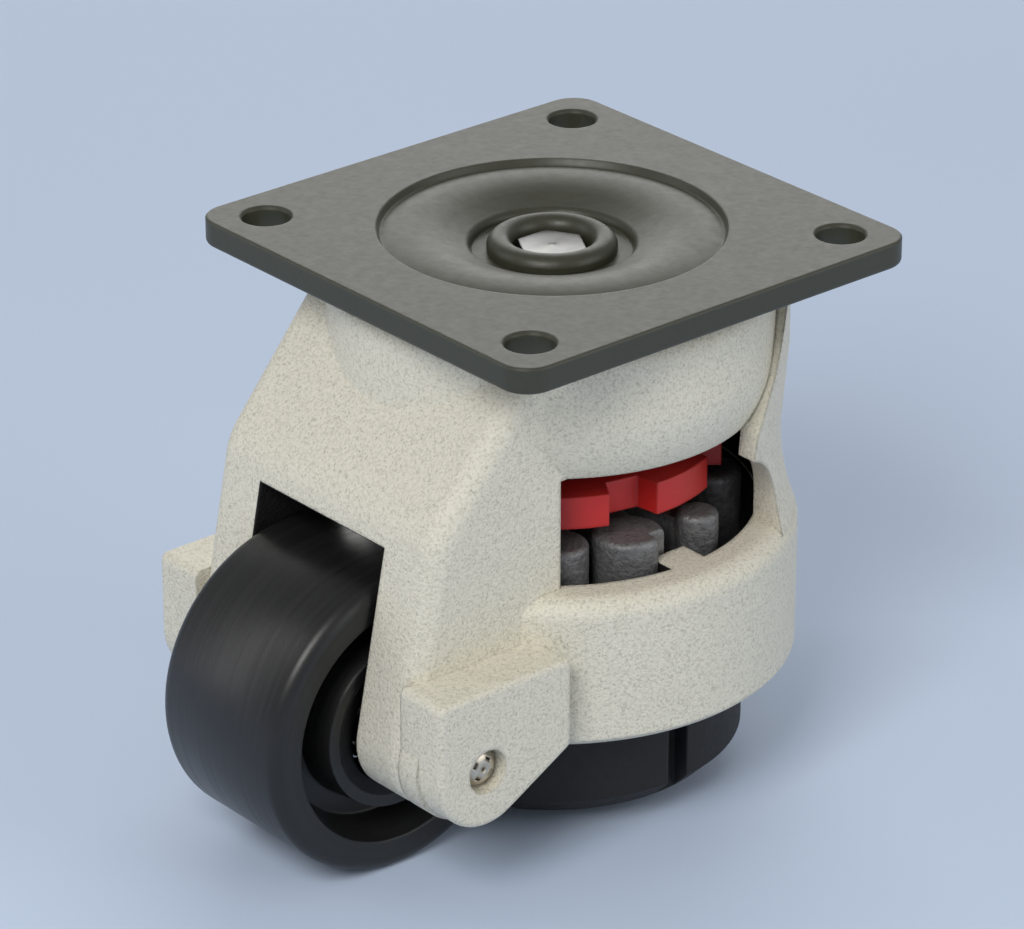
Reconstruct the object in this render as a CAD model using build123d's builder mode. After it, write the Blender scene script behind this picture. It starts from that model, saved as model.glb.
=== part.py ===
from build123d import *
import os
from math import acos, atan2, cos, hypot, radians, sin

# Levelling castor with a square top plate. Origin: centre of the plate's top mounting face, on the
# swivel axis. +Z is up, the wheel trails towards -X and its axle runs along Y. All lengths in mm.

# Top plate
plate_side = 73.0
plate_thick = 4.0
plate_corner = 4.5
bolt_pitch = 58.0
bolt_hole_dia = 7.0
hole_rim = 0.4
plate_edge = 0.7
dish_radius = 24.6
dish_step = 0.6
groove_depth = 1.0
crown_radius = 21.0
crown_depth = 0.35
crown_inner = 15.6
crown_fall = 0.9
well_radius = 12.0
well_rim_depth = 2.3
well_depth = 3.8
hub_depth = 6.2

# Kingpin, a hollow rivet that holds the plate to the housing
pin_radius = 7.6
pin_bore = 5.7
rivet_radius = 9.4
rivet_rise = 2.4
pin_flange_radius = 12.4
pin_flange = 1.8

# Swivel bearing: main ball row above the housing web, check row below it
main_ball = 6.0
main_pitch = 18.2
main_count = 12
check_ball = 4.0
check_pitch = 10.8
check_count = 10
race_clearance = 0.05
race_width = 7.0
race_floor = 1.5
race_lip = 1.0
web_thick = 3.0
web_bore = 8.2

# Housing casting
dome_radius = 33.0
dome_belly = 17.0
lip_radius = 30.1
lip_drop = 25.7
lip_wall = 3.6
rim_drop = 5.6
rim_radius = 29.6
rim_inner = 25.4
cavity_drop = 23.0
boss_radius = 17.6
boss_drop = 28.6
chamber_radius = 14.6
bore_radius = 30.0
ring_radius = 36.0
ring_top = 42.4
ring_bottom = 65.0
ring_shoulder = 3.0
column_radius = 34.2
column_neck = 33.2
column_flare = 35.4
neck_drop = 30.0
column_edge = 1.5
column_head = 22.5
column_waist = 11.5
column_foot = 17.4
body_half = 24.2
body_edge = 3.2
body_brow = 23.6
body_toe = 24.0
knee_top = (-40.2, -26.4)
knee_middle = (-41.4, -28.2)
knee_bottom = (-42.2, -30.2)
window_edge = 19.2
window_wall = 2.6
arm_half = 27.2
arm_end = 9.0
block_half = 32.0
block_drop = 48.8
block_back = 15.4
block_end = 8.5
block_corner = 1.2
block_edge = 0.8
key_width = 6.0
key_depth = 4.6
key_bottom = 62.0
slot_clearance = 0.65
slot_drop = 32.4

# Wheel and axle
wheel_dia = 46.0
wheel_width = 26.5
wheel_edge = 2.0
axle_reach = 39.1
axle_drop = 61.4
wheel_recess = 18.2
recess_depth = 6.5
bearing_bore = 8.0
bearing_dia = 22.0
bearing_width = 7.0
bearing_ring = 2.0
bearing_ball = 3.9
bearing_count = 7
washer_gap = 1.0
axle_end = 22.0
screw_grip = 9.0
screw_shank = 4.0
screw_head = 5.8
screw_head_height = 2.2
screw_sink = 1.1
screw_recess = 6.6

# Levelling gear
spindle_dia = 10.0
thread_bush_radius = 9.0
bush_flange = 2.2
thumb_radius = 24.8
thumb_root = 21.1
thumb_teeth = 8
gap_angle = 19.0
thumb_phase = 10.0
thumb_top = 31.3
thumb_thick = 4.9
thumb_hub = 9.0
web_sink = 1.0
pin_dia = 2.0
hex_flats = 9.0
hex_height = 4.0
hex_drop = 2.9
washer_thick = 1.0
foot_radius = 27.8
foot_hub = 10.0
foot_base = 6.0
foot_drop = 66.0
foot_skirt = 20.0
rib_thick = 3.4
wide_rib_thick = 7.0
lobe_radius = 4.2
slim_lobe_radius = 3.1
wide_lobe_radius = 5.2
lobe_round = 0.9
lobe_gap = 2.4
neck_dia = 8.0
hub_floor = 58.0
clip_room = 8.0
clip_thick = 1.0
clip_depth = 0.6
end_float = 0.05
pad_radius = 28.3
pad_drop = 81.2
pad_chamfer = 3.0
pad_groove = 3.7
pad_groove_depth = 3.0
notch_clearance = 1.5

fit = 0.05
slide_gap = 0.4

os.makedirs("parts", exist_ok=True)

# Levels and places worked out from the sizes above
wheel_radius = wheel_dia / 2
slot_half = wheel_width / 2 + slot_clearance
main_level = -(hub_depth + main_ball / 2 - 1.8)
race_top = main_level - race_lip
race_base = main_level - main_ball / 2 - race_clearance - race_floor
web_bottom = race_base - web_thick
check_level = web_bottom - check_ball / 2 + 1.0
check_top = check_level - 0.8
check_base = check_level - check_ball / 2 - race_clearance - race_floor
pin_bottom = check_base - pin_flange
bush_top = pin_bottom - 1.0
thumb_bottom = -(thumb_top + thumb_thick)
hub_top = thumb_bottom - washer_thick
lobe_top = thumb_bottom - lobe_gap
pitch = 360.0 / thumb_teeth
axle = (-axle_reach, -axle_drop)
notch_half = slot_half + notch_clearance
notch_reach = axle_reach - wheel_radius - notch_clearance
key_seat = bore_radius - key_depth - slide_gap
foot_lobes = [(0, lobe_radius, rib_thick)]
for side in (1, -1):
    foot_lobes.append((38 * side, lobe_radius, rib_thick))
    foot_lobes.append((73 * side, slim_lobe_radius, rib_thick))
    foot_lobes.append((102 * side, wide_lobe_radius, wide_rib_thick))
    foot_lobes.append((128 * side, lobe_radius, rib_thick))
clip_top = -hub_floor - washer_thick
clip_seat = neck_dia / 2 - clip_depth
bearing_outer = slot_half - washer_gap
bearing_inner = bearing_outer - bearing_width
ball_pitch = (bearing_bore + bearing_dia) / 4


with BuildPart() as top_plate:
    with BuildSketch(Plane.XY.offset(-plate_thick)):
        RectangleRounded(plate_side, plate_side, plate_corner)
    extrude(amount=plate_thick)
    rims = top_plate.faces().sort_by(Axis.Z)
    fillet(rims[0].edges(), plate_edge)
    chamfer(top_plate.faces().sort_by(Axis.Z)[-1].edges(), plate_edge / 3)
    # The pressed hub below the dish carries the upper raceway
    with BuildSketch(Plane.XZ):
        with BuildLine():
            Polyline(
                (0, -hub_depth),
                (dish_radius - dish_step, -hub_depth),
                (dish_radius + dish_step, -plate_thick),
                (dish_radius + dish_step, -plate_thick / 2),
                (0, -plate_thick / 2),
                close=True,
            )
        make_face()
    revolve(axis=Axis.Z)
    # The pressed dish seen from above: step, groove, crowned ring and well
    with BuildSketch(Plane.XZ):
        with BuildLine():
            Polyline(
                (0, 1),
                (dish_radius + dish_step, 1),
                (dish_radius + dish_step, 0),
                (dish_radius, -groove_depth),
            )
            ThreePointArc(
                (dish_radius, -groove_depth),
                (crown_radius, -crown_depth),
                (crown_inner, -crown_depth - crown_fall),
            )
            Line((crown_inner, -crown_depth - crown_fall), (well_radius + 0.8, -well_rim_depth))
            ThreePointArc(
                (well_radius + 0.8, -well_rim_depth),
                (well_radius, -(well_rim_depth + well_depth) / 2 + 0.3),
                (well_radius - 0.4, -well_depth),
            )
            Polyline((well_radius - 0.4, -well_depth), (0, -well_depth), (0, 1))
        make_face()
    revolve(axis=Axis.Z, mode=Mode.SUBTRACT)
    with BuildSketch(Plane.XZ.offset(0)):
        with Locations((main_pitch, main_level)):
            Circle(main_ball / 2 + race_clearance)
    revolve(axis=Axis.Z, mode=Mode.SUBTRACT)
    with GridLocations(bolt_pitch, bolt_pitch, 2, 2):
        Hole(bolt_hole_dia / 2)
    hole_edges = top_plate.edges().filter_by(GeomType.CIRCLE)
    hole_edges = hole_edges.filter_by(lambda e: abs(e.radius - bolt_hole_dia / 2) < 0.01)
    chamfer(hole_edges, hole_rim)
    Hole(pin_radius)
top_plate.part.label = "top_plate"
export_step(top_plate.part, "parts/top_plate.step")


with BuildPart() as kingpin:
    with BuildSketch(Plane.XZ):
        with BuildLine():
            Polyline(
                (pin_bore, pin_bottom),
                (pin_flange_radius, pin_bottom),
                (pin_flange_radius, check_base),
                (pin_radius, check_base),
                (pin_radius, -well_depth),
                (rivet_radius, -well_depth),
                (rivet_radius, -well_depth + 1),
            )
            ThreePointArc(
                (rivet_radius, -well_depth + 1),
                ((rivet_radius + pin_bore) / 2 + 0.5, -well_depth + rivet_rise),
                (pin_bore, -well_depth + 0.6),
            )
            Line((pin_bore, -well_depth + 0.6), (pin_bore, pin_bottom))
        make_face()
    revolve(axis=Axis.Z)
kingpin.part.label = "kingpin"
export_step(kingpin.part, "parts/kingpin.step")


# Steel race rings: the main ring lies in the housing cup, the check ring on the kingpin flange
with BuildPart() as main_race:
    with BuildSketch(Plane.XZ):
        with Locations((main_pitch, (race_top + race_base) / 2)):
            Rectangle(race_width, race_top - race_base)
        with Locations((main_pitch, main_level)):
            Circle(main_ball / 2 + race_clearance, mode=Mode.SUBTRACT)
    revolve(axis=Axis.Z)
main_race.part.label = "main_race"
export_step(main_race.part, "parts/main_race.step")

with BuildPart() as check_race:
    with BuildSketch(Plane.XZ):
        with BuildLine():
            Polyline(
                (pin_radius, check_base),
                (pin_flange_radius + 0.6, check_base),
                (pin_flange_radius + 0.6, check_top),
                (pin_radius, check_top),
                close=True,
            )
        make_face()
        with Locations((check_pitch, check_level)):
            Circle(check_ball / 2 + race_clearance, mode=Mode.SUBTRACT)
    revolve(axis=Axis.Z)
check_race.part.label = "check_race"
export_step(check_race.part, "parts/check_race.step")

with BuildPart() as main_balls:
    with Locations((0, 0, main_level)):
        with PolarLocations(main_pitch, main_count):
            Sphere(main_ball / 2)
main_balls.part.label = "main_balls"
export_step(main_balls.part, "parts/main_balls.step")

with BuildPart() as check_balls:
    with Locations((0, 0, check_level)):
        with PolarLocations(check_pitch, check_count):
            Sphere(check_ball / 2)
check_balls.part.label = "check_balls"
export_step(check_balls.part, "parts/check_balls.step")


# The housing, one casting: bearing dome, rear column, foot ring and the fork with its axle blocks
def tangent_point(point, centre, radius, side):
    """Where a line from an outside point touches a circle, on the side given by +1 or -1."""
    dx = point[0] - centre[0]
    dz = point[1] - centre[1]
    angle = atan2(dz, dx) + side * acos(radius / hypot(dx, dz))
    return (centre[0] + radius * cos(angle), centre[1] + radius * sin(angle))


def point_on(centre, radius, angle):
    """The point of a circle at an angle in degrees."""
    return (centre[0] + radius * cos(radians(angle)), centre[1] + radius * sin(radians(angle)))


with BuildPart() as rear_column:
    with BuildSketch(Plane.XZ):
        with BuildLine():
            Polyline(
                (0, -rim_drop),
                (column_radius, -rim_drop),
                (column_radius, -dome_belly),
                (column_neck, -neck_drop),
            )
            ThreePointArc(
                (column_neck, -neck_drop),
                (column_neck + 0.8, -neck_drop - 8),
                (column_flare, -ring_top - 0.8),
            )
            Polyline(
                (column_flare, -ring_top - 0.8),
                (column_flare, -ring_top - ring_shoulder - 0.6),
                (0, -ring_top - ring_shoulder - 0.6),
                (0, -rim_drop),
            )
        make_face()
    revolve(axis=Axis.Z)
    fillet(rear_column.faces().sort_by(Axis.Z)[-1].edges(), column_edge)
    # The column's front edges slant forwards from the top, then flare back over the ring
    with BuildSketch(Plane.XZ.offset(-ring_radius)):
        with BuildLine():
            Polyline(
                (column_foot, -ring_top - 2),
                (-ring_radius, -ring_top - 2),
                (-ring_radius, 0),
                (column_head, 0),
                (column_head, -rim_drop),
                (column_waist, -lip_drop),
                (column_waist - 0.5, -lip_drop - 3.8),
            )
            ThreePointArc(
                (column_waist - 0.5, -lip_drop - 3.8),
                (column_waist + 4.4, -lip_drop - 7.8),
                (column_foot, -lip_drop - 13.0),
            )
            Line((column_foot, -lip_drop - 13.0), (column_foot, -ring_top - 2))
        make_face()
    extrude(amount=2 * ring_radius, mode=Mode.SUBTRACT)

front_touch = tangent_point(knee_bottom, axle, arm_end, 1)
rear_touch = tangent_point((-body_toe, -ring_bottom), axle, arm_end, -1)
block_touch = tangent_point((block_back - axle_reach, -axle_drop - 1.2), axle, block_end, -1)

# Axle block outside one fork arm, and the round end of the arm
with BuildPart() as axle_blocks:
    with BuildSketch(Plane.XZ.offset(body_half - 1)) as block_face:
        with BuildLine():
            Polyline(
                (-axle_reach - block_end, -axle_drop),
                (-axle_reach - block_end, -block_drop),
                (-axle_reach + block_back, -block_drop),
                (-axle_reach + block_back, -axle_drop - 1.2),
                block_touch,
            )
            ThreePointArc(
                block_touch,
                point_on(axle, block_end, 240),
                (-axle_reach - block_end, -axle_drop),
            )
        make_face()
        corners = block_face.vertices().filter_by(
            lambda v: v.Y > -block_drop - 0.1 or v.X > -axle_reach + block_back - 0.1
        )
        fillet(corners, block_corner)
    extrude(amount=block_half - body_half + 1)
    fillet(axle_blocks.faces().sort_by(Axis.Y)[0].edges(), block_edge)
    with BuildSketch(Plane.XZ.offset(body_half - 1)):
        with Locations(axle):
            Circle(arm_end)
    extrude(amount=arm_half - body_half + 1)

with BuildPart() as housing:
    # Fork and shoulders: the side outline, with its outer corners rounded
    with BuildSketch(Plane.XZ.offset(-body_half)):
        with BuildLine():
            Polyline((0, -rim_drop - 0.6), (-body_brow, -rim_drop - 0.6), knee_top)
            ThreePointArc(knee_top, knee_middle, knee_bottom)
            Line(knee_bottom, front_touch)
            ThreePointArc(front_touch, point_on(axle, arm_end, 230), rear_touch)
            Polyline(rear_touch, (-body_toe, -ring_bottom), (0, -ring_bottom), (0, -rim_drop - 0.6))
        make_face()
    extrude(amount=2 * body_half)
    outer = housing.edges().filter_by(lambda e: abs(abs(e.center().Y) - body_half) < 0.01)
    outer = outer.filter_by(lambda e: e.center().X < -body_brow - 2)
    fillet(outer, body_edge)
    # Bearing dome, bellied at the middle and drawn in to the lip
    with BuildSketch(Plane.XZ):
        with BuildLine():
            Polyline((0, -lip_drop), (lip_radius, -lip_drop))
            ThreePointArc(
                (lip_radius, -lip_drop),
                (dome_radius - 0.7, -(dome_belly + lip_drop) / 2),
                (dome_radius, -dome_belly),
            )
            Line((dome_radius, -dome_belly), (dome_radius - 0.5, -rim_drop - 3.4))
            ThreePointArc(
                (dome_radius - 0.5, -rim_drop - 3.4),
                (dome_radius - 1.5, -rim_drop - 1.0),
                (rim_radius, -rim_drop),
            )
            Polyline((rim_radius, -rim_drop), (0, -rim_drop), (0, -lip_drop))
        make_face()
    revolve(axis=Axis.Z)
    # Ring round the foot, with a rounded shoulder
    with BuildSketch(Plane.XZ):
        with BuildLine():
            Polyline(
                (0, -ring_bottom),
                (ring_radius - 0.8, -ring_bottom),
                (ring_radius, -ring_bottom + 0.8),
                (ring_radius, -ring_top - ring_shoulder),
            )
            JernArc((ring_radius, -ring_top - ring_shoulder), (0, 1), ring_shoulder, 90)
            Polyline((ring_radius - ring_shoulder, -ring_top), (0, -ring_top), (0, -ring_bottom))
        make_face()
    revolve(axis=Axis.Z)
    add(rear_column.part)
    add(axle_blocks.part)
    add(axle_blocks.part.mirror(Plane.XZ))
    # Bearing cup, kingpin bore and the chamber under the web
    with BuildSketch(Plane.XZ):
        with BuildLine():
            Polyline(
                (0, 0),
                (rim_inner, 0),
                (rim_inner, race_top),
                (main_pitch + race_width / 2, race_top),
                (main_pitch + race_width / 2, race_base),
                (web_bore, race_base),
                (web_bore, web_bottom),
                (chamber_radius, web_bottom),
                (chamber_radius, -ring_bottom - 1),
                (0, -ring_bottom - 1),
                close=True,
            )
        make_face()
    revolve(axis=Axis.Z, mode=Mode.SUBTRACT)
    with BuildSketch(Plane.XZ):
        with Locations((check_pitch, check_level)):
            Circle(check_ball / 2 + race_clearance)
    revolve(axis=Axis.Z, mode=Mode.SUBTRACT)
    # Space for the thumbwheel and foot, round the boss that holds the thread bush
    with BuildSketch(Plane.XZ):
        with BuildLine():
            Polyline(
                (boss_radius, -cavity_drop),
                (lip_radius - lip_wall, -cavity_drop),
                (lip_radius - lip_wall, -lip_drop),
                (bore_radius, -lip_drop),
                (bore_radius, -ring_bottom - 1),
                (0, -ring_bottom - 1),
                (0, -boss_drop),
                (boss_radius, -boss_drop),
                close=True,
            )
        make_face()
    revolve(axis=Axis.Z, mode=Mode.SUBTRACT)
    with BuildSketch(Plane.XY.offset(-boss_drop)):
        Circle(boss_radius)
        Circle(chamber_radius, mode=Mode.SUBTRACT)
    extrude(amount=boss_drop - cavity_drop)
    # Blunt front edges of the side windows
    with BuildSketch(Plane.XY.offset(-ring_top)):
        for side in (1, -1):
            with Locations((-window_edge / 2, side * body_half)):
                Rectangle(window_edge, 2 * window_wall)
    extrude(amount=ring_top - lip_drop, mode=Mode.SUBTRACT)
    # Slot for the wheel, open to the front and below
    with BuildSketch(Plane.XY.offset(-slot_drop)):
        with Locations((-axle_reach, 0)):
            Rectangle(2 * (axle_reach - notch_reach), 2 * slot_half)
    extrude(amount=-(axle_drop + arm_end - slot_drop + 1), mode=Mode.SUBTRACT)
    # Keys that keep the foot from turning
    for side in (1, -1):
        with Locations((0, side * (bore_radius - key_depth / 2 + 0.5), -(ring_top + key_bottom) / 2)):
            Box(key_width, key_depth + 1, key_bottom - ring_top)
    # Seats of the axle sleeve and of the sunk screws
    with Locations(Location((-axle_reach, 0, -axle_drop), (90, 0, 0))):
        Cylinder(bearing_bore / 2 + fit, 2 * axle_end, mode=Mode.SUBTRACT)
    for side in (1, -1):
        with Locations(Plane((-axle_reach, side * block_half, -axle_drop), z_dir=(0, side, 0))):
            CounterBoreHole(
                screw_shank / 2 + 3 * fit,
                screw_recess / 2,
                screw_sink + screw_head_height,
                block_half - axle_end + 1,
            )
housing.part.label = "housing"
export_step(housing.part, "parts/housing.step")


with BuildPart() as thread_bush:
    with BuildSketch(Plane.XZ):
        with BuildLine():
            Polyline(
                (spindle_dia / 2 + fit, bush_top),
                (chamber_radius, bush_top),
                (chamber_radius, bush_top - bush_flange),
                (thread_bush_radius, bush_top - bush_flange),
                (thread_bush_radius, -boss_drop),
                (spindle_dia / 2 + fit, -boss_drop),
                close=True,
            )
        make_face()
    revolve(axis=Axis.Z)
thread_bush.part.label = "thread_bush"
export_step(thread_bush.part, "parts/thread_bush.step")


# Levelling spindle: hexagon at the top, thread, shoulder and neck with a groove for the clip
with BuildPart() as spindle:
    with BuildSketch(Plane.XZ):
        with BuildLine():
            Polyline(
                (0, -hex_drop - hex_height),
                (spindle_dia / 2 - 0.6, -hex_drop - hex_height),
                (spindle_dia / 2, -hex_drop - hex_height - 0.6),
                (spindle_dia / 2, thumb_bottom),
                (neck_dia / 2, thumb_bottom),
                (neck_dia / 2, clip_top - end_float),
                (clip_seat, clip_top - end_float),
                (clip_seat, clip_top - end_float - clip_thick),
                (neck_dia / 2, clip_top - end_float - clip_thick),
                (neck_dia / 2, clip_top - clip_thick - 1.2),
                (0, clip_top - clip_thick - 1.2),
                close=True,
            )
        make_face()
    revolve(axis=Axis.Z)
    with BuildSketch(Plane.XY.offset(-hex_drop - hex_height)):
        RegularPolygon(hex_flats / 2, 6, major_radius=False)
    extrude(amount=hex_height)
    with Locations(Location((0, 0, thumb_bottom + thumb_thick / 2), (0, 90, 0))):
        Cylinder(pin_dia / 2, spindle_dia + 1, mode=Mode.SUBTRACT)
spindle.part.label = "spindle"
export_step(spindle.part, "parts/spindle.step")

with BuildPart() as thumbwheel:
    with BuildSketch(Plane.XY.offset(thumb_bottom)):
        Circle(thumb_radius)
        with PolarLocations(0, thumb_teeth, start_angle=thumb_phase + pitch / 2):
            Polygon(
                point_on((0, 0), thumb_radius + 1, -gap_angle / 2),
                point_on((0, 0), thumb_radius + 1, gap_angle / 2),
                point_on((0, 0), thumb_root, gap_angle / 2 - 2.5),
                point_on((0, 0), thumb_root, 2.5 - gap_angle / 2),
                align=None,
                mode=Mode.SUBTRACT,
            )
    extrude(amount=thumb_thick)
    # Shallow rings moulded into both faces leave a hub and a rim
    for level, depth in ((thumb_bottom, web_sink), (thumb_bottom + thumb_thick, -web_sink)):
        with BuildSketch(Plane.XY.offset(level)):
            Circle(thumb_root - 2.4)
            Circle(thumb_hub, mode=Mode.SUBTRACT)
        extrude(amount=depth, mode=Mode.SUBTRACT)
    Hole(spindle_dia / 2)
    with Locations(Location((0, 0, thumb_bottom + thumb_thick / 2), (0, 90, 0))):
        Cylinder(pin_dia / 2, 2 * thumb_hub, mode=Mode.SUBTRACT)
thumbwheel.part.label = "thumbwheel"
export_step(thumbwheel.part, "parts/thumbwheel.step")

with BuildPart() as locking_pin:
    with Locations(Location((0, 0, thumb_bottom + thumb_thick / 2), (0, 90, 0))):
        Cylinder(pin_dia / 2, 2 * thumb_hub)
locking_pin.part.label = "locking_pin"
export_step(locking_pin.part, "parts/locking_pin.step")

with BuildPart() as spindle_clip:
    with BuildSketch(Plane.XY.offset(clip_top - end_float - clip_thick)):
        Circle(neck_dia / 2 + 2.2)
        Circle(clip_seat, mode=Mode.SUBTRACT)
        with Locations((neck_dia / 2 + 1, 0)):
            Rectangle(neck_dia, clip_seat, mode=Mode.SUBTRACT)
    extrude(amount=clip_thick)
spindle_clip.part.label = "spindle_clip"
export_step(spindle_clip.part, "parts/spindle_clip.step")


# Foot: a ribbed casting with round lobes at its rim, cut away behind the wheel
with BuildPart() as foot_casting:
    with BuildSketch(Plane.XY.offset(-foot_drop)):
        Circle(foot_radius)
    extrude(amount=foot_base)
    with BuildSketch(Plane.XZ):
        with BuildLine():
            Polyline(
                (0, -foot_drop),
                (foot_skirt, -foot_drop),
                (foot_skirt, -foot_drop + foot_base),
                (foot_hub + 1.6, hub_top - 5),
                (foot_hub, hub_top - 4),
                (foot_hub, hub_top),
                (0, hub_top),
                close=True,
            )
        make_face()
    revolve(axis=Axis.Z)
    for angle, round_radius, thick in foot_lobes:
        lobe_pitch = foot_radius - round_radius
        outward = (cos(radians(angle)), sin(radians(angle)), 0)
        across = (outward[1], -outward[0], 0)
        with BuildSketch(Plane((0, 0, 0), x_dir=outward, z_dir=across)):
            with BuildLine():
                Polyline(
                    (neck_dia, -foot_drop),
                    (lobe_pitch, -foot_drop),
                    (lobe_pitch, lobe_top - 1.6),
                    (foot_hub + 2, hub_top - 2),
                    (neck_dia, hub_top - 1),
                    close=True,
                )
            make_face()
        extrude(amount=thick / 2, both=True)
        with BuildSketch(Plane.XY.offset(-foot_drop)):
            with Locations(point_on((0, 0), lobe_pitch, angle)):
                Circle(round_radius)
        extrude(amount=foot_drop + lobe_top)
    tops = foot_casting.edges().filter_by(GeomType.CIRCLE)
    tops = tops.filter_by(lambda e: abs(e.center().Z - lobe_top) < 0.01)
    fillet(tops, lobe_round)
    with BuildSketch(Plane.XY.offset(-foot_drop)):
        with Locations((-foot_radius - notch_reach, 0)):
            Rectangle(2 * foot_radius, 2 * notch_half)
        for side in (1, -1):
            with Locations((0, side * foot_radius)):
                Rectangle(key_width + 2 * slide_gap, 2 * (foot_radius - key_seat))
    extrude(amount=foot_drop, mode=Mode.SUBTRACT)
    with BuildSketch(Plane.XY.offset(-hub_floor)):
        Circle(clip_room)
    extrude(amount=-foot_drop + hub_floor, mode=Mode.SUBTRACT)
    Hole(neck_dia / 2 + fit)
foot_casting.part.label = "foot_casting"
export_step(foot_casting.part, "parts/foot_casting.step")

with BuildPart() as thrust_washers:
    for level in (hub_top, clip_top):
        with BuildSketch(Plane.XY.offset(level)):
            Circle(neck_dia / 2 + 3.4)
            Circle(neck_dia / 2 + fit, mode=Mode.SUBTRACT)
        extrude(amount=washer_thick)
thrust_washers.part.label = "thrust_washers"
export_step(thrust_washers.part, "parts/thrust_washers.step")

with BuildPart() as rubber_pad:
    with BuildSketch(Plane.XY.offset(-pad_drop)):
        Circle(pad_radius)
    extrude(amount=pad_drop - foot_drop)
    chamfer(rubber_pad.faces().sort_by(Axis.Z)[0].edges(), pad_chamfer)
    with BuildSketch(Plane.XY.offset(-pad_drop)):
        with Locations((-pad_radius - notch_reach, 0)):
            Rectangle(2 * pad_radius, 2 * notch_half)
        for angle in (-90, 0, 90):
            with Locations(Location(point_on((0, 0), pad_radius, angle) + (0,), (0, 0, angle))):
                Rectangle(2 * pad_groove_depth, pad_groove)
    extrude(amount=pad_drop, mode=Mode.SUBTRACT)
rubber_pad.part.label = "rubber_pad"
export_step(rubber_pad.part, "parts/rubber_pad.step")


# Wheel and its axle: every profile is drawn as radius against width, half of it, then mirrored
axle_plane = Plane((-axle_reach, 0, -axle_drop), x_dir=(1, 0, 0), z_dir=(0, 0, 1))
axle_line = Axis((-axle_reach, 0, -axle_drop), (0, 1, 0))
wheel_half = wheel_width / 2

with BuildPart() as wheel:
    with BuildSketch(axle_plane):
        with BuildLine():
            Polyline(
                (bearing_dia / 2 - 1.4, 0),
                (bearing_dia / 2 - 1.4, bearing_inner),
                (bearing_dia / 2, bearing_inner),
                (bearing_dia / 2, bearing_outer),
                (bearing_dia / 2 + 1.8, bearing_outer),
                (bearing_dia / 2 + 2.4, wheel_half - recess_depth),
                (wheel_recess - 1.8, wheel_half - recess_depth),
                (wheel_recess, wheel_half),
                (wheel_radius - wheel_edge, wheel_half),
            )
            JernArc((wheel_radius - wheel_edge, wheel_half), (1, 0), wheel_edge, -90)
            Polyline(
                (wheel_radius, wheel_half - wheel_edge),
                (wheel_radius, 0),
                (bearing_dia / 2 - 1.4, 0),
            )
        make_face()
        mirror(about=Plane.XZ)
    revolve(axis=axle_line)
wheel.part.label = "wheel"
export_step(wheel.part, "parts/wheel.step")

with BuildPart() as bearing_outer_rings:
    with BuildSketch(axle_plane):
        with Locations((bearing_dia / 2 - bearing_ring / 2, (bearing_inner + bearing_outer) / 2)):
            Rectangle(bearing_ring, bearing_width)
        with Locations((ball_pitch, (bearing_inner + bearing_outer) / 2)):
            Circle(bearing_ball / 2 + race_clearance, mode=Mode.SUBTRACT)
        mirror(about=Plane.XZ)
    revolve(axis=axle_line)
bearing_outer_rings.part.label = "bearing_outer_rings"
export_step(bearing_outer_rings.part, "parts/bearing_outer_rings.step")

with BuildPart() as bearing_inner_rings:
    with BuildSketch(axle_plane):
        with Locations((bearing_bore / 2 + bearing_ring / 2, (bearing_inner + bearing_outer) / 2)):
            Rectangle(bearing_ring, bearing_width)
        with Locations((ball_pitch, (bearing_inner + bearing_outer) / 2)):
            Circle(bearing_ball / 2 + race_clearance, mode=Mode.SUBTRACT)
        mirror(about=Plane.XZ)
    revolve(axis=axle_line)
bearing_inner_rings.part.label = "bearing_inner_rings"
export_step(bearing_inner_rings.part, "parts/bearing_inner_rings.step")

with BuildPart() as bearing_balls:
    for side in (1, -1):
        row = Plane(
            (-axle_reach, side * (bearing_inner + bearing_outer) / 2, -axle_drop),
            x_dir=(1, 0, 0),
            z_dir=(0, -1, 0),
        )
        with Locations(row):
            with PolarLocations(ball_pitch, bearing_count):
                Sphere(bearing_ball / 2)
bearing_balls.part.label = "bearing_balls"
export_step(bearing_balls.part, "parts/bearing_balls.step")

with BuildPart() as bearing_spacer:
    with BuildSketch(axle_plane):
        with Locations((bearing_bore / 2 + 0.6, 0)):
            Rectangle(1.2, 2 * bearing_inner)
    revolve(axis=axle_line)
bearing_spacer.part.label = "bearing_spacer"
export_step(bearing_spacer.part, "parts/bearing_spacer.step")

with BuildPart() as axle_washers:
    with BuildSketch(axle_plane):
        with Locations((bearing_bore / 2 + bearing_ring / 2, (bearing_outer + slot_half) / 2)):
            Rectangle(bearing_ring, slot_half - bearing_outer)
        mirror(about=Plane.XZ)
    revolve(axis=axle_line)
axle_washers.part.label = "axle_washers"
export_step(axle_washers.part, "parts/axle_washers.step")

with BuildPart() as axle_sleeve:
    with BuildSketch(axle_plane):
        with Locations(((bearing_bore + screw_shank) / 4, 0)):
            Rectangle((bearing_bore - screw_shank) / 2, 2 * axle_end)
    revolve(axis=axle_line)
axle_sleeve.part.label = "axle_sleeve"
export_step(axle_sleeve.part, "parts/axle_sleeve.step")

# Cross-recessed screws that close the axle sleeve from both sides
head_seat = block_half - screw_sink - screw_head_height

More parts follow.
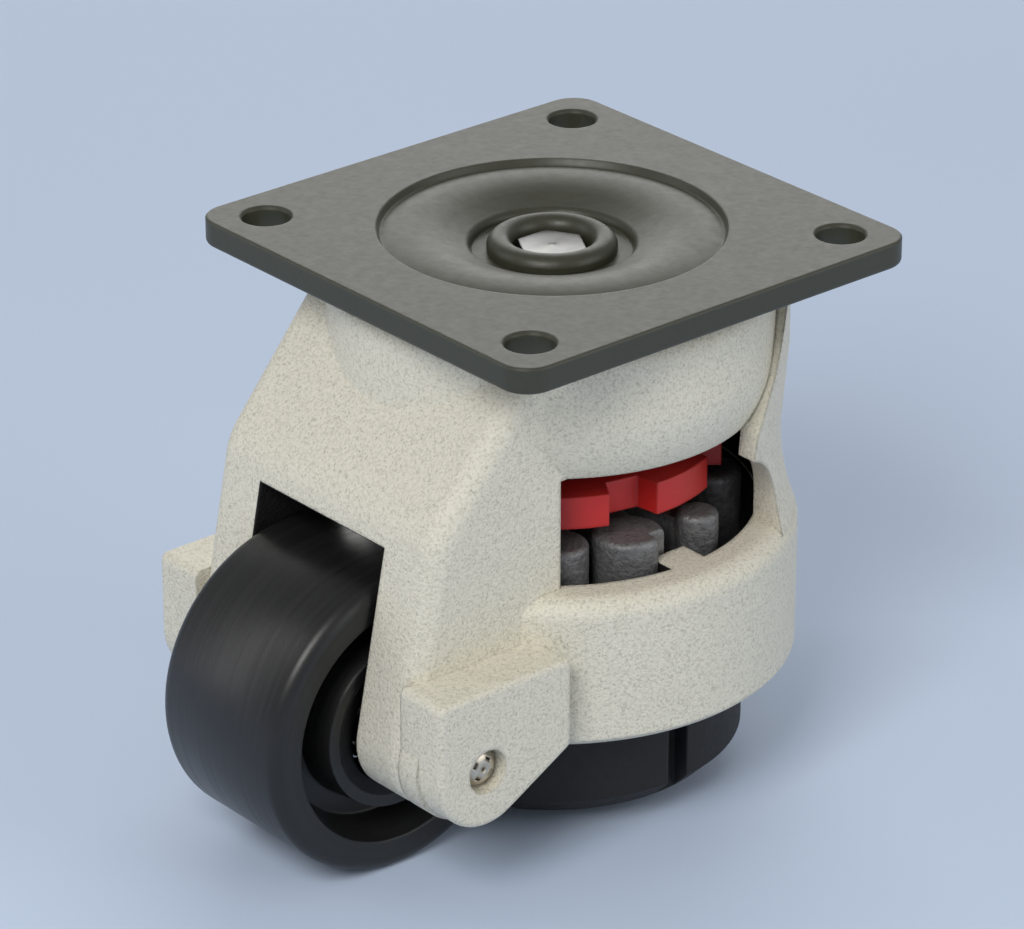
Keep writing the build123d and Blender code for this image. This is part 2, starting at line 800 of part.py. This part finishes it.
with BuildPart() as axle_screws:
    with BuildSketch(axle_plane):
        with BuildLine():
            Polyline(
                (0, axle_end - screw_grip),
                (screw_shank / 2, axle_end - screw_grip),
                (screw_shank / 2, head_seat),
                (screw_head / 2, head_seat),
                (screw_head / 2, head_seat + screw_head_height / 2),
            )
            ThreePointArc(
                (screw_head / 2, head_seat + screw_head_height / 2),
                (screw_head / 2 - 0.7, head_seat + screw_head_height - 0.3),
                (0, head_seat + screw_head_height),
            )
            Line((0, head_seat + screw_head_height), (0, axle_end - screw_grip))
        make_face()
        mirror(about=Plane.XZ)
    revolve(axis=axle_line)
    for side in (1, -1):
        with Locations((-axle_reach, side * (head_seat + screw_head_height - 0.6), -axle_drop)):
            Box(screw_head * 0.62, 1.3, screw_head * 0.17, rotation=(0, 35, 0), mode=Mode.SUBTRACT)
            Box(screw_head * 0.62, 1.3, screw_head * 0.17, rotation=(0, 125, 0), mode=Mode.SUBTRACT)
axle_screws.part.label = "axle_screws"
export_step(axle_screws.part, "parts/axle_screws.step")
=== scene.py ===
import math
import bpy
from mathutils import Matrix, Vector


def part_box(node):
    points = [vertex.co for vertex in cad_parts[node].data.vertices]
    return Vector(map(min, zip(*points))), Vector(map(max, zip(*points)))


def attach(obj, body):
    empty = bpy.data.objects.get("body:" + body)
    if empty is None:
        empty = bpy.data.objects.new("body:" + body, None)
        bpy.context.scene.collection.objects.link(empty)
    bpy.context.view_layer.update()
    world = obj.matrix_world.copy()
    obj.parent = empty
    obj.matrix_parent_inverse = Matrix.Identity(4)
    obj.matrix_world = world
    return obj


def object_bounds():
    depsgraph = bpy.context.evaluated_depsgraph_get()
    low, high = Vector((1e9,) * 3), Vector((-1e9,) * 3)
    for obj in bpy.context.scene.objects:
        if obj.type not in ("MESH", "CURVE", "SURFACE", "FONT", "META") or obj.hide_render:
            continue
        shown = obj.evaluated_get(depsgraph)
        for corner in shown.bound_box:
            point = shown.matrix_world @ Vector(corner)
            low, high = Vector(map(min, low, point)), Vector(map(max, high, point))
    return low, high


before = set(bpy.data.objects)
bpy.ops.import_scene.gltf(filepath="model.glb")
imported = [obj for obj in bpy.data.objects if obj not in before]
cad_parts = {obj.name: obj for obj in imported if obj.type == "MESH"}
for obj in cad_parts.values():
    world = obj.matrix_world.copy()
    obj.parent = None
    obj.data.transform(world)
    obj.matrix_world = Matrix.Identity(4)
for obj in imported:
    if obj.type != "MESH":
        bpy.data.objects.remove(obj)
cad_low, cad_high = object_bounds()


# ---- Studio: a plain pale floor under the castor, one soft key lamp and two weak soft lamps ----
# The castor stands on the floor by its wheel; the camera looks down on the plate and one side.
scene = bpy.context.scene
scene.view_settings.view_transform = "Standard"

camera = bpy.data.objects.new("camera", bpy.data.cameras.new("camera"))
scene.collection.objects.link(camera)
camera.location = (-0.43946, -0.50730, 0.28298)
camera.rotation_euler = [math.radians(a) for a in (64.452, 0.0, -40.413)]
camera.data.sensor_width = 36.0
camera.data.lens = 179.61
camera.data.clip_start = 0.01
camera.data.clip_end = 20.0
scene.camera = camera


def soft_lamp(name, place, aim, width, height, power, tint):
    """A rectangular area lamp at a place, turned to a point."""
    lamp = bpy.data.lights.new(name, "AREA")
    lamp.shape = "RECTANGLE"
    lamp.size = width
    lamp.size_y = height
    lamp.energy = power
    lamp.color = tint
    holder = bpy.data.objects.new(name, lamp)
    scene.collection.objects.link(holder)
    holder.location = place
    towards = [a - p for a, p in zip(aim, place)]
    holder.rotation_mode = "QUATERNION"
    holder.rotation_quaternion = Vector(towards).to_track_quat("-Z", "Y")


middle = (cad_low + cad_high) / 2
soft_lamp("key_lamp", (-0.66, -0.34, 0.62), middle, 0.42, 0.42, 5.3, (1.0, 0.98, 0.95))
soft_lamp("fill_lamp", (0.40, -0.78, 0.30), middle, 0.60, 0.60, 2.3, (1.0, 0.98, 0.95))
soft_lamp("back_lamp", (0.78, 0.90, 0.54), middle, 1.10, 1.10, 6.6, (1.0, 0.99, 0.96))
soft_lamp("side_lamp", (-0.80, 0.76, 0.40), middle, 0.22, 1.10, 1.8, (1.0, 1.0, 1.0))

world = bpy.data.worlds.new("studio_air")
world.use_nodes = True
scene.world = world
world.node_tree.nodes["Background"].inputs["Color"].default_value = (0.86, 0.88, 0.92, 1)
world.node_tree.nodes["Background"].inputs["Strength"].default_value = 0.34

floor_mesh = bpy.data.meshes.new("studio_floor")
reach = 4.0
level = cad_low.z - 0.00005
floor_mesh.from_pydata(
    [(-reach, -reach, level), (reach, -reach, level), (reach, reach, level), (-reach, reach, level)],
    [],
    [(0, 1, 2, 3)],
)
studio_floor = bpy.data.objects.new("studio_floor", floor_mesh)
scene.collection.objects.link(studio_floor)
floor_finish = bpy.data.materials.new("pale_floor")
floor_finish.use_nodes = True
shader = floor_finish.node_tree.nodes["Principled BSDF"]
shader.inputs["Roughness"].default_value = 0.75
cloud = floor_finish.node_tree.nodes.new("ShaderNodeTexNoise")
cloud.inputs["Scale"].default_value = 3.0
tone = floor_finish.node_tree.nodes.new("ShaderNodeMix")
tone.data_type = "RGBA"
tone.inputs[6].default_value = (0.50, 0.60, 0.77, 1)
tone.inputs[7].default_value = (0.55, 0.65, 0.82, 1)
spot = floor_finish.node_tree.nodes.new("ShaderNodeTexCoord")
floor_finish.node_tree.links.new(spot.outputs["Object"], cloud.inputs["Vector"])
floor_finish.node_tree.links.new(cloud.outputs["Fac"], tone.inputs[0])
floor_finish.node_tree.links.new(tone.outputs[2], shader.inputs["Base Color"])
floor_mesh.materials.append(floor_finish)


# ---- Top plate: 4 mm pressed steel, square, with four bolt holes and a pressed bearing dish ----
# Painted a dark satin olive. The paint is thin: it has a faint orange-peel, its cut edges are painted
# lighter, partly as wear and partly as a painted highlight, and its tone drifts a little over the pressed dish.
def make_group(name, inputs, outputs):
    """A shader node group with named inputs and outputs, and its two end nodes."""
    tree = bpy.data.node_groups.new(name, "ShaderNodeTree")
    for label, kind, value in inputs:
        tree.interface.new_socket(label, in_out="INPUT", socket_type=kind).default_value = value
    for label, kind in outputs:
        tree.interface.new_socket(label, in_out="OUTPUT", socket_type=kind)
    return tree, tree.nodes.new("NodeGroupInput"), tree.nodes.new("NodeGroupOutput")


def math_node(tree, operation, first, second=None, third=None):
    """A Math node whose inputs are sockets or numbers; gives its output."""
    node = tree.nodes.new("ShaderNodeMath")
    node.operation = operation
    for place, value in enumerate((first, second, third)):
        if value is None:
            continue
        if isinstance(value, (int, float)):
            node.inputs[place].default_value = value
        else:
            tree.links.new(value, node.inputs[place])
    return node.outputs[0]


def colour_mix(tree, factor, low, high):
    """A colour between two, each a socket or a tuple, by a factor; gives its output."""
    node = tree.nodes.new("ShaderNodeMix")
    node.data_type = "RGBA"
    for place, value in ((0, factor), (6, low), (7, high)):
        if isinstance(value, tuple):
            node.inputs[place].default_value = (*value, 1)
        elif isinstance(value, (int, float)):
            node.inputs[place].default_value = value
        else:
            tree.links.new(value, node.inputs[place])
    return node.outputs[2]


# Grain: a fleck and a height over the surface, at a grain size in metres
grain, gin, gout = make_group(
    "surface_grain",
    [("Size", "NodeSocketFloat", 0.001), ("Contrast", "NodeSocketFloat", 1.0)],
    [("Fleck", "NodeSocketFloat"), ("Height", "NodeSocketFloat")],
)
where = grain.nodes.new("ShaderNodeTexCoord").outputs["Object"]
coarse = grain.nodes.new("ShaderNodeTexNoise")
coarse.inputs["Detail"].default_value = 2.0
coarse.inputs["Roughness"].default_value = 0.6
grain.links.new(where, coarse.inputs["Vector"])
grain.links.new(math_node(grain, "DIVIDE", 1.0, gin.outputs["Size"]), coarse.inputs["Scale"])
pits = grain.nodes.new("ShaderNodeTexVoronoi")
pits.feature = "SMOOTH_F1"
grain.links.new(where, pits.inputs["Vector"])
grain.links.new(math_node(grain, "DIVIDE", 0.7, gin.outputs["Size"]), pits.inputs["Scale"])
height = math_node(grain, "MULTIPLY_ADD", pits.outputs["Distance"], -0.45, coarse.outputs["Fac"])
spread = math_node(grain, "SUBTRACT", height, 0.24)
spread = math_node(grain, "MULTIPLY", spread, gin.outputs["Contrast"])
fleck = grain.nodes.new("ShaderNodeClamp")
grain.links.new(math_node(grain, "ADD", spread, 0.5), fleck.inputs["Value"])
grain.links.new(fleck.outputs[0], gout.inputs["Fleck"])
grain.links.new(height, gout.inputs["Height"])

# Soft edge: the surface's normal rounded over its edges, and a mask of where that happens
soft_edge, ein, eout = make_group(
    "soft_edge",
    [("Radius", "NodeSocketFloat", 0.0004), ("Gain", "NodeSocketFloat", 4.0)],
    [("Normal", "NodeSocketVector"), ("Edge", "NodeSocketFloat")],
)
round_over = soft_edge.nodes.new("ShaderNodeBevel")
round_over.samples = 4
soft_edge.links.new(ein.outputs["Radius"], round_over.inputs["Radius"])
straight = soft_edge.nodes.new("ShaderNodeNewGeometry")
agree = soft_edge.nodes.new("ShaderNodeVectorMath")
agree.operation = "DOT_PRODUCT"
soft_edge.links.new(round_over.outputs[0], agree.inputs[0])
soft_edge.links.new(straight.outputs["Normal"], agree.inputs[1])
turned_away = math_node(soft_edge, "SUBTRACT", 1.0, agree.outputs["Value"])
edge_mask = soft_edge.nodes.new("ShaderNodeClamp")
soft_edge.links.new(
    math_node(soft_edge, "MULTIPLY", turned_away, ein.outputs["Gain"]), edge_mask.inputs["Value"]
)
soft_edge.links.new(round_over.outputs[0], eout.inputs["Normal"])
soft_edge.links.new(edge_mask.outputs[0], eout.inputs["Edge"])


def place_group(tree, group, **values):
    """Places a node group in a material, with its own values."""
    node = tree.nodes.new("ShaderNodeGroup")
    node.node_tree = group
    for label, value in values.items():
        node.inputs[label].default_value = value
    return node


def start_finish(name, metallic, coat=0.0):
    """A new material with its nodes; gives the material, its tree and its Principled shader."""
    finish = bpy.data.materials.new(name)
    finish.use_nodes = True
    surface = finish.node_tree.nodes["Principled BSDF"]
    surface.inputs["Metallic"].default_value = metallic
    surface.inputs["Coat Weight"].default_value = coat
    return finish, finish.node_tree, surface


def set_bump(tree, surface, height, depth, under):
    """Joins a height to the shader's normal through a Bump node of a depth in metres."""
    bump = tree.nodes.new("ShaderNodeBump")
    bump.inputs["Strength"].default_value = 1.0
    bump.inputs["Distance"].default_value = depth
    tree.links.new(height, bump.inputs["Height"])
    tree.links.new(under, bump.inputs["Normal"])
    tree.links.new(bump.outputs[0], surface.inputs["Normal"])


def set_range(tree, factor, low, high, target):
    """Runs a number from low to high by a factor into a socket."""
    span = tree.nodes.new("ShaderNodeMapRange")
    span.inputs["To Min"].default_value = low
    span.inputs["To Max"].default_value = high
    tree.links.new(factor, span.inputs["Value"])
    tree.links.new(span.outputs[0], target)


def dress(finish, *nodes):
    """Gives a CAD node its finish."""
    for node in nodes:
        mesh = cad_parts[node].data
        if not mesh.materials:
            mesh.materials.append(finish)
        for place in range(len(mesh.materials)):
            mesh.materials[place] = finish


plate_paint, tree, surface = start_finish("plate_paint", 0.0)
peel = place_group(tree, grain, Size=0.0011, Contrast=1.6)
drift = place_group(tree, grain, Size=0.021, Contrast=1.2)
edges = place_group(tree, soft_edge, Radius=0.0005, Gain=3.0)
paint = colour_mix(tree, drift.outputs["Fleck"], (0.029, 0.030, 0.018), (0.038, 0.039, 0.024))
paint = colour_mix(tree, math_node(tree, "MULTIPLY", peel.outputs["Fleck"], 0.16), paint, (0.060, 0.062, 0.045))
# The cut edges are painted lighter: partly wear, partly a painted highlight.
edge_wear_and_highlight = math_node(tree, "MULTIPLY", edges.outputs["Edge"], 0.45)
paint = colour_mix(tree, edge_wear_and_highlight, paint, (0.16, 0.16, 0.12))
tree.links.new(paint, surface.inputs["Base Color"])
set_range(tree, peel.outputs["Fleck"], 0.36, 0.46, surface.inputs["Roughness"])
set_bump(tree, surface, peel.outputs["Height"], 0.000025, edges.outputs["Normal"])
dress(plate_paint, "top_plate", "kingpin")


# ---- Swivel bearing: hollow kingpin rivet, two hardened race rings and two rows of balls ----
# The rivet is painted with the plate, after it is spun over. The races keep their grinding lines
# and the balls are polished.
turned, tin, tout = make_group(
    "turned_lines",
    [("Vector", "NodeSocketVector", (0, 0, 0)), ("Size", "NodeSocketFloat", 0.0003)],
    [("Line", "NodeSocketFloat")],
)
parts = turned.nodes.new("ShaderNodeSeparateXYZ")
turned.links.new(tin.outputs["Vector"], parts.inputs[0])
across = math_node(turned, "MULTIPLY", parts.outputs["X"], parts.outputs["X"])
across = math_node(turned, "MULTIPLY_ADD", parts.outputs["Y"], parts.outputs["Y"], across)
rings = turned.nodes.new("ShaderNodeCombineXYZ")
turned.links.new(math_node(turned, "SQRT", across), rings.inputs["X"])
turned.links.new(parts.outputs["Z"], rings.inputs["Y"])
lines = turned.nodes.new("ShaderNodeTexNoise")
lines.inputs["Detail"].default_value = 1.0
turned.links.new(rings.outputs[0], lines.inputs["Vector"])
turned.links.new(math_node(turned, "DIVIDE", 1.0, tin.outputs["Size"]), lines.inputs["Scale"])
turned.links.new(lines.outputs["Fac"], tout.inputs["Line"])


def metal_finish(name, dark, bright, smooth, rough, line_size, depth, about_axle=False):
    """A turned metal finish whose lines run round the swivel axis or round the axle."""
    finish, tree, surface = start_finish(name, 1.0)
    spot = tree.nodes.new("ShaderNodeTexCoord").outputs["Object"]
    centre = tree.nodes.new("ShaderNodeMapping")
    tree.links.new(spot, centre.inputs["Vector"])
    if about_axle:
        low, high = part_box("wheel")
        axle = (low + high) / 2
        centre.inputs["Location"].default_value = (-axle.x, axle.z, 0)
        centre.inputs["Rotation"].default_value = (math.radians(90), 0, 0)
    lathe = place_group(tree, turned, Size=line_size)
    tree.links.new(centre.outputs[0], lathe.inputs["Vector"])
    drift = place_group(tree, grain, Size=0.004, Contrast=1.5)
    edges = place_group(tree, soft_edge, Radius=0.0003, Gain=3.0)
    shade = math_node(tree, "MULTIPLY_ADD", lathe.outputs["Line"], 0.5, drift.outputs["Fleck"])
    shade = math_node(tree, "MULTIPLY", shade, 0.7)
    metal = colour_mix(tree, shade, dark, bright)
    tree.links.new(metal, surface.inputs["Base Color"])
    set_range(tree, drift.outputs["Fleck"], smooth, rough, surface.inputs["Roughness"])
    set_bump(tree, surface, lathe.outputs["Line"], depth, edges.outputs["Normal"])
    return finish


race_steel = metal_finish("race_steel", (0.34, 0.34, 0.35), (0.58, 0.58, 0.60), 0.20, 0.34, 0.0003, 0.00002)
ball_steel = metal_finish("ball_steel", (0.50, 0.51, 0.53), (0.66, 0.67, 0.69), 0.08, 0.14, 0.0006, 0.000003)
dress(race_steel, "main_race", "check_race")
dress(ball_steel, "main_balls", "check_balls")


# ---- Housing: one aluminium casting with the bearing dome, column, foot ring and wheel fork ----
# Powder coated in warm ivory, a fine hammered coat: small glossy bumps with darker pits between
# them, the pits painted darker as shade and the bump tops painted lighter as highlight. It rounds
# every cast edge over. The wheel slot and the bore are masked and drawn black.
housing_coat, tree, surface = start_finish("housing_coat", 0.0)
hammer_relief_and_pit_shade = place_group(tree, grain, Size=0.00036, Contrast=3.4)
sand = place_group(tree, grain, Size=0.00024, Contrast=4.5)
drift = place_group(tree, grain, Size=0.016, Contrast=0.8)
edges = place_group(tree, soft_edge, Radius=0.0009, Gain=2.0)
# The coat's speckle is partly painted light: its pits are painted darker as shade and its bump tops lighter as
# highlight.
coat = colour_mix(tree, hammer_relief_and_pit_shade.outputs["Fleck"], (0.43, 0.408, 0.325), (0.70, 0.668, 0.552))
coat = colour_mix(tree, math_node(tree, "MULTIPLY", sand.outputs["Fleck"], 0.50), coat, (0.84, 0.805, 0.685))
coat = colour_mix(tree, math_node(tree, "MULTIPLY", drift.outputs["Fleck"], 0.12), coat, (0.50, 0.475, 0.39))
coat = colour_mix(tree, math_node(tree, "MULTIPLY", edges.outputs["Edge"], 0.12), coat, (0.50, 0.47, 0.39))
# The wheel slot walls and the bore are masked and drawn near black.
spot = tree.nodes.new("ShaderNodeTexCoord").outputs["Object"]
axes = tree.nodes.new("ShaderNodeSeparateXYZ")
tree.links.new(spot, axes.inputs[0])
wheel_low, wheel_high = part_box("wheel")
foot_low, foot_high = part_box("foot_casting")
slot_wall = wheel_high.y + 0.0008
slot_roof = wheel_high.z + 0.0061
bore_wall = foot_high.y + 0.0025
in_slot = math_node(tree, "LESS_THAN", math_node(tree, "ABSOLUTE", axes.outputs["Y"]), slot_wall)
in_slot = math_node(tree, "MULTIPLY", in_slot, math_node(tree, "LESS_THAN", axes.outputs["Z"], slot_roof))
in_slot = math_node(tree, "MULTIPLY", in_slot, math_node(tree, "LESS_THAN", axes.outputs["X"], -0.0140))
out = math_node(tree, "MULTIPLY", axes.outputs["X"], axes.outputs["X"])
out = math_node(tree, "SQRT", math_node(tree, "MULTIPLY_ADD", axes.outputs["Y"], axes.outputs["Y"], out))
in_bore = math_node(tree, "LESS_THAN", out, bore_wall)
in_bore = math_node(tree, "MULTIPLY", in_bore, math_node(tree, "LESS_THAN", axes.outputs["Z"], -0.0259))
ledge = math_node(tree, "COMPARE", axes.outputs["Z"], -0.0424, 0.0002)
in_bore = math_node(tree, "MULTIPLY", in_bore, math_node(tree, "SUBTRACT", 1.0, ledge))
black_inside_mask = math_node(tree, "MAXIMUM", in_slot, in_bore)
coat = colour_mix(tree, black_inside_mask, coat, (0.012, 0.0115, 0.011))
tree.links.new(coat, surface.inputs["Base Color"])
set_range(tree, sand.outputs["Fleck"], 0.30, 0.52, surface.inputs["Roughness"])
relief = math_node(tree, "MULTIPLY_ADD", sand.outputs["Height"], 0.35, hammer_relief_and_pit_shade.outputs["Height"])
set_bump(tree, surface, relief, 0.00015, edges.outputs["Normal"])
dress(housing_coat, "housing")


# ---- Levelling gear: steel thread bush, threaded spindle, its pin, clip and washers ----
# Zinc-plated steel. The spindle carries a fine metric thread along its shank; the thumbwheel is
# pinned to it and the clip holds it in the foot.
zinc_steel = metal_finish("zinc_steel", (0.36, 0.36, 0.36), (0.60, 0.60, 0.59), 0.26, 0.44, 0.0005, 0.00002)
dress(zinc_steel, "thread_bush", "spindle_clip", "locking_pin", "thrust_washers")

thread_pitch = 0.0015
thread_steel, tree, surface = start_finish("thread_steel", 1.0)
spot = tree.nodes.new("ShaderNodeTexCoord").outputs["Object"]
axes = tree.nodes.new("ShaderNodeSeparateXYZ")
tree.links.new(spot, axes.inputs[0])
turn = math_node(tree, "ARCTAN2", axes.outputs["Y"], axes.outputs["X"])
turn = math_node(tree, "DIVIDE", turn, 2 * math.pi)
climb = math_node(tree, "DIVIDE", axes.outputs["Z"], thread_pitch)
ridge = math_node(tree, "PINGPONG", math_node(tree, "SUBTRACT", climb, turn), 0.5)
edges = place_group(tree, soft_edge, Radius=0.0003, Gain=3.0)
drift = place_group(tree, grain, Size=0.003, Contrast=1.5)
# The thread's grooves are painted dark as shade and its crests lighter as highlight; the same ridge drives the
# bump.
metal = colour_mix(tree, ridge, (0.16, 0.16, 0.16), (0.52, 0.52, 0.51))
tree.links.new(metal, surface.inputs["Base Color"])
set_range(tree, drift.outputs["Fleck"], 0.26, 0.42, surface.inputs["Roughness"])
set_bump(tree, surface, ridge, 0.0006, edges.outputs["Normal"])
dress(thread_steel, "spindle")


# ---- Thumbwheel: red moulded plastic, turned by hand through the side windows ----
# Eight blunt teeth, a sunk web between hub and rim. Moulded with a slight sheen and a very fine
# texture; the teeth's edges are painted lighter as a highlight.
red_plastic, tree, surface = start_finish("red_plastic", 0.0)
skin = place_group(tree, grain, Size=0.0005, Contrast=1.4)
drift = place_group(tree, grain, Size=0.009, Contrast=1.2)
edges = place_group(tree, soft_edge, Radius=0.0005, Gain=3.0)
red = colour_mix(tree, drift.outputs["Fleck"], (0.42, 0.011, 0.009), (0.54, 0.019, 0.015))
# Painted highlight: the teeth's edges are drawn lighter.
red = colour_mix(tree, math_node(tree, "MULTIPLY", edges.outputs["Edge"], 0.35), red, (0.72, 0.08, 0.07))
tree.links.new(red, surface.inputs["Base Color"])
set_range(tree, skin.outputs["Fleck"], 0.34, 0.44, surface.inputs["Roughness"])
set_bump(tree, surface, skin.outputs["Height"], 0.00002, edges.outputs["Normal"])
dress(red_plastic, "thumbwheel")


# ---- Foot: a ribbed die casting with round lobes, left raw, with a threaded neck ----
# Raw grey metal, grainy and dull, its edges painted brighter as a highlight. The neck under the
# thumbwheel keeps a coarse turned thread, which is made here as one ridge wound round it.
cast_grey, tree, surface = start_finish("cast_grey", 0.55)
sand = place_group(tree, grain, Size=0.0007, Contrast=2.4)
drift = place_group(tree, grain, Size=0.005, Contrast=1.6)
edges = place_group(tree, soft_edge, Radius=0.0007, Gain=2.6)
grey = colour_mix(tree, drift.outputs["Fleck"], (0.10, 0.10, 0.10), (0.21, 0.21, 0.21))
grey = colour_mix(tree, math_node(tree, "MULTIPLY", sand.outputs["Fleck"], 0.35), grey, (0.30, 0.30, 0.31))
# Painted highlight: the casting's edges are drawn brighter.
grey = colour_mix(tree, math_node(tree, "MULTIPLY", edges.outputs["Edge"], 0.55), grey, (0.42, 0.42, 0.43))
tree.links.new(grey, surface.inputs["Base Color"])
set_range(tree, sand.outputs["Fleck"], 0.38, 0.58, surface.inputs["Roughness"])
set_bump(tree, surface, sand.outputs["Height"], 0.00022, edges.outputs["Normal"])
dress(cast_grey, "foot_casting")

neck_radius = 0.0100
ridge_half = 0.00030
ridge_pitch = 0.0012
ridge_turns = 5.0
neck_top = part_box("foot_casting")[1].z

winder = bpy.data.node_groups.new("ridge_winder", "GeometryNodeTree")
for label, kind in (
    ("Geometry", "NodeSocketGeometry"),
    ("Radius", "NodeSocketFloat"),
    ("Height", "NodeSocketFloat"),
    ("Turns", "NodeSocketFloat"),
    ("Ridge", "NodeSocketFloat"),
    ("Base", "NodeSocketVector"),
    ("Finish", "NodeSocketMaterial"),
):
    winder.interface.new_socket(label, in_out="INPUT", socket_type=kind)
winder.interface.new_socket("Geometry", in_out="OUTPUT", socket_type="NodeSocketGeometry")
start = winder.nodes.new("NodeGroupInput")
end = winder.nodes.new("NodeGroupOutput")
coil = winder.nodes.new("GeometryNodeCurveSpiral")
coil.inputs["Resolution"].default_value = 48
winder.links.new(start.outputs["Turns"], coil.inputs["Rotations"])
winder.links.new(start.outputs["Radius"], coil.inputs["Start Radius"])
winder.links.new(start.outputs["Radius"], coil.inputs["End Radius"])
winder.links.new(start.outputs["Height"], coil.inputs["Height"])
shift = winder.nodes.new("GeometryNodeTransform")
winder.links.new(coil.outputs[0], shift.inputs["Geometry"])
winder.links.new(start.outputs["Base"], shift.inputs["Translation"])
profile = winder.nodes.new("GeometryNodeCurvePrimitiveCircle")
profile.inputs["Resolution"].default_value = 6
winder.links.new(start.outputs["Ridge"], profile.inputs["Radius"])
skin = winder.nodes.new("GeometryNodeCurveToMesh")
skin.inputs["Fill Caps"].default_value = True
winder.links.new(shift.outputs[0], skin.inputs["Curve"])
winder.links.new(profile.outputs[0], skin.inputs["Profile Curve"])
whole = winder.nodes.new("GeometryNodeRealizeInstances")
winder.links.new(skin.outputs[0], whole.inputs[0])
painted = winder.nodes.new("GeometryNodeSetMaterial")
winder.links.new(whole.outputs[0], painted.inputs["Geometry"])
winder.links.new(start.outputs["Finish"], painted.inputs["Material"])
winder.links.new(painted.outputs[0], end.inputs[0])

blank = bpy.data.objects.new("neck_blank", bpy.data.meshes.new("neck_blank"))
scene.collection.objects.link(blank)
wound = blank.modifiers.new("wound", "NODES")
wound.node_group = winder
sizes = {
    "Radius": neck_radius,
    "Height": ridge_pitch * ridge_turns,
    "Turns": ridge_turns,
    "Ridge": ridge_half,
    "Base": (0.0, 0.0, neck_top - ridge_pitch * ridge_turns - 0.0005),
    "Finish": cast_grey,
}
for item in winder.interface.items_tree:
    if item.in_out == "INPUT" and item.name in sizes:
        wound[item.identifier] = sizes[item.name]
evaluated = blank.evaluated_get(bpy.context.evaluated_depsgraph_get())
neck_mesh = bpy.data.meshes.new_from_object(evaluated)
bpy.data.objects.remove(blank)
neck_thread = bpy.data.objects.new("neck_thread", neck_mesh)
scene.collection.objects.link(neck_thread)
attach(neck_thread, "foot")


# ---- Rubber pad: a thick black disc bonded under the foot, with grip notches in its side ----
# Moulded rubber, dull, with a fine grain; its edges are drawn slightly greyer.
black_rubber, tree, surface = start_finish("black_rubber", 0.0)
skin = place_group(tree, grain, Size=0.0008, Contrast=1.8)
edges = place_group(tree, soft_edge, Radius=0.0006, Gain=3.0)
rubber = colour_mix(tree, skin.outputs["Fleck"], (0.007, 0.007, 0.007), (0.015, 0.015, 0.015))
greyer_edges = math_node(tree, "MULTIPLY", edges.outputs["Edge"], 0.4)
rubber = colour_mix(tree, greyer_edges, rubber, (0.060, 0.060, 0.062))
tree.links.new(rubber, surface.inputs["Base Color"])
set_range(tree, skin.outputs["Fleck"], 0.52, 0.68, surface.inputs["Roughness"])
set_bump(tree, surface, skin.outputs["Height"], 0.00005, edges.outputs["Normal"])
surface.inputs["Specular IOR Level"].default_value = 0.35
dress(black_rubber, "rubber_pad")


# ---- Wheel: solid black nylon on two ball bearings, moulded and then turned on its tread ----
# A soft sheen on the tread with faint turning lines; the recessed sides keep the mould's skin.
black_nylon, tree, surface = start_finish("black_nylon", 0.0)
spot = tree.nodes.new("ShaderNodeTexCoord").outputs["Object"]
centre = tree.nodes.new("ShaderNodeMapping")
tree.links.new(spot, centre.inputs["Vector"])
wheel_low, wheel_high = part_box("wheel")
hub = (wheel_low + wheel_high) / 2
centre.inputs["Location"].default_value = (-hub.x, hub.z, 0)
centre.inputs["Rotation"].default_value = (math.radians(90), 0, 0)
lathe = place_group(tree, turned, Size=0.0009)
tree.links.new(centre.outputs[0], lathe.inputs["Vector"])
skin = place_group(tree, grain, Size=0.0006, Contrast=1.4)
edges = place_group(tree, soft_edge, Radius=0.0005, Gain=3.0)
nylon = colour_mix(tree, lathe.outputs["Line"], (0.006, 0.006, 0.006), (0.014, 0.014, 0.014))
nylon = colour_mix(tree, math_node(tree, "MULTIPLY", edges.outputs["Edge"], 0.3), nylon, (0.055, 0.055, 0.058))
tree.links.new(nylon, surface.inputs["Base Color"])
set_range(tree, lathe.outputs["Line"], 0.26, 0.44, surface.inputs["Roughness"])
width = tree.nodes.new("ShaderNodeSeparateXYZ")
tree.links.new(centre.outputs[0], width.inputs[0])
crown = math_node(tree, "MULTIPLY", width.outputs["Z"], width.outputs["Z"])
crown = math_node(tree, "MULTIPLY", crown, -7.0)
relief = math_node(tree, "MULTIPLY_ADD", skin.outputs["Height"], 0.4, lathe.outputs["Line"])
relief = math_node(tree, "MULTIPLY_ADD", relief, 0.00002, crown)
set_bump(tree, surface, relief, 1.0, edges.outputs["Normal"])
dress(black_nylon, "wheel")


# ---- Axle: bearings, spacer and washers on a steel sleeve, closed by a cross-recessed screw a side ----
# The bearings and washers are drawn as near-black steel, so the hub stays dark; the sleeve is plain. The
# screws are zinc plated with a warm passivated tint.
black_steel = metal_finish("black_steel", (0.012, 0.012, 0.012), (0.035, 0.035, 0.036), 0.34, 0.50, 0.0003, 0.00002, True)
axle_steel = metal_finish("axle_steel", (0.34, 0.34, 0.35), (0.60, 0.60, 0.61), 0.18, 0.34, 0.0003, 0.00002, True)
screw_steel = metal_finish("screw_steel", (0.36, 0.32, 0.25), (0.68, 0.63, 0.53), 0.24, 0.40, 0.0003, 0.00002, True)
dress(black_steel, "bearing_outer_rings", "bearing_inner_rings", "axle_washers")
dress(axle_steel, "bearing_spacer", "axle_sleeve")
dress(ball_steel, "bearing_balls")
dress(screw_steel, "axle_screws")
